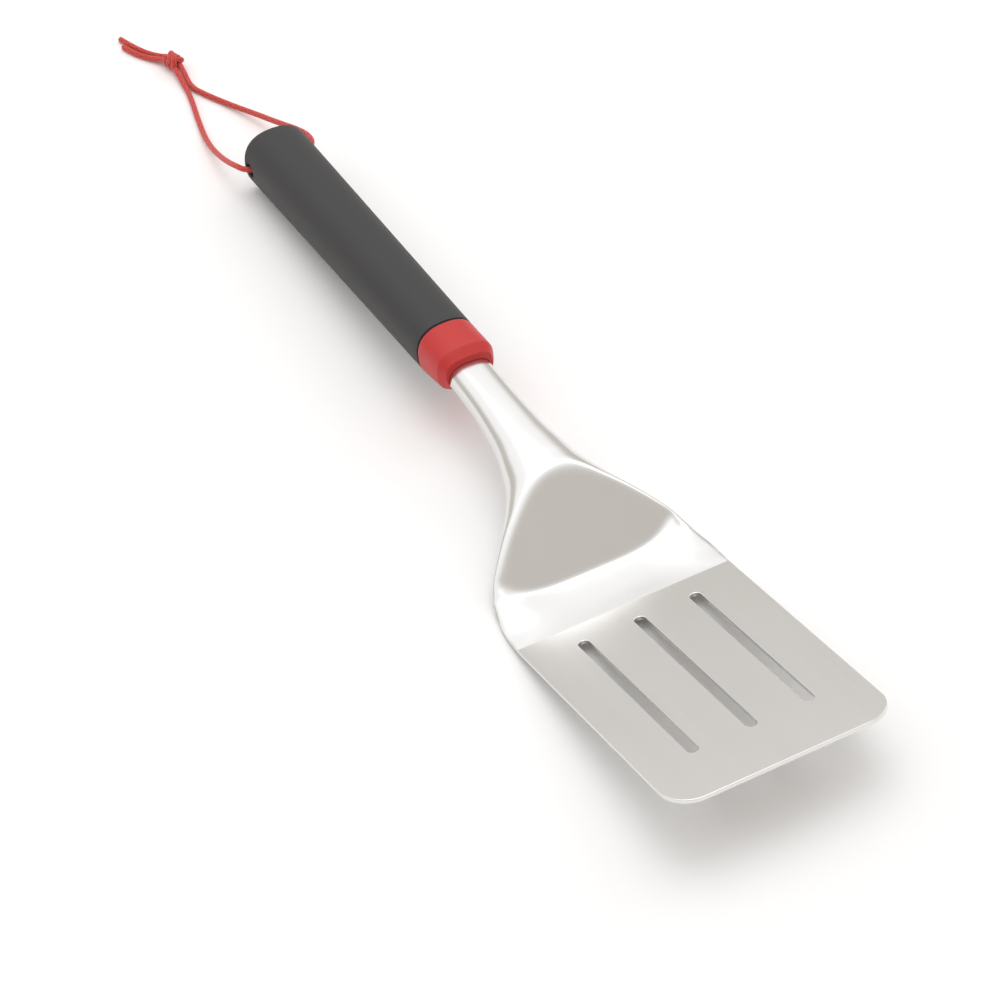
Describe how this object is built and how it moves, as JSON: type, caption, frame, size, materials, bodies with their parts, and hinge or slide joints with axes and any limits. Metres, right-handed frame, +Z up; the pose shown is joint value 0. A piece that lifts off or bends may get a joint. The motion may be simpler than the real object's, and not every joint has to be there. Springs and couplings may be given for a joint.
{
  "type": "grill spatula",
  "caption": "Long-handled grill spatula: slotted steel blade with a pressed neck, soft grip, coloured collar and a knotted hanging cord.",
  "frame": {"origin": "on the table, under the middle of the spatula's box without its cord", "axes": "+X along the spatula from the butt to the blade's tip, +Y to its left, +Z up; it lies at rest on the butt and on the heel of the blade"},
  "size_m": [0.5824, 0.097, 0.0405],
  "materials": {
    "steel": "fine satin brushed stainless steel",
    "core_plastic": "black moulded plastic",
    "grip": "matte dark grey soft-touch",
    "collar_plastic": "satin red moulded plastic",
    "pin_steel": "plain steel pin",
    "cord": "fine braided red cord"
  },
  "bodies": {
    "handle": {"blade": "steel", "handle_core": "core_plastic", "grip_sleeve": "grip", "collar": "collar_plastic", "tang_pins": "pin_steel"},
    "hang_loop": {"hang_cord_left": "cord", "hang_cord_right": "cord", "knot": "cord"}
  },
  "joints": [
    {"name": "loop_swing", "type": "hinge", "parent": "handle", "child": "hang_loop", "pos_m": [-0.21667, 0, 0.01468], "axis": [0, 1, 0], "range_deg": [-75, 100]}
  ]
}
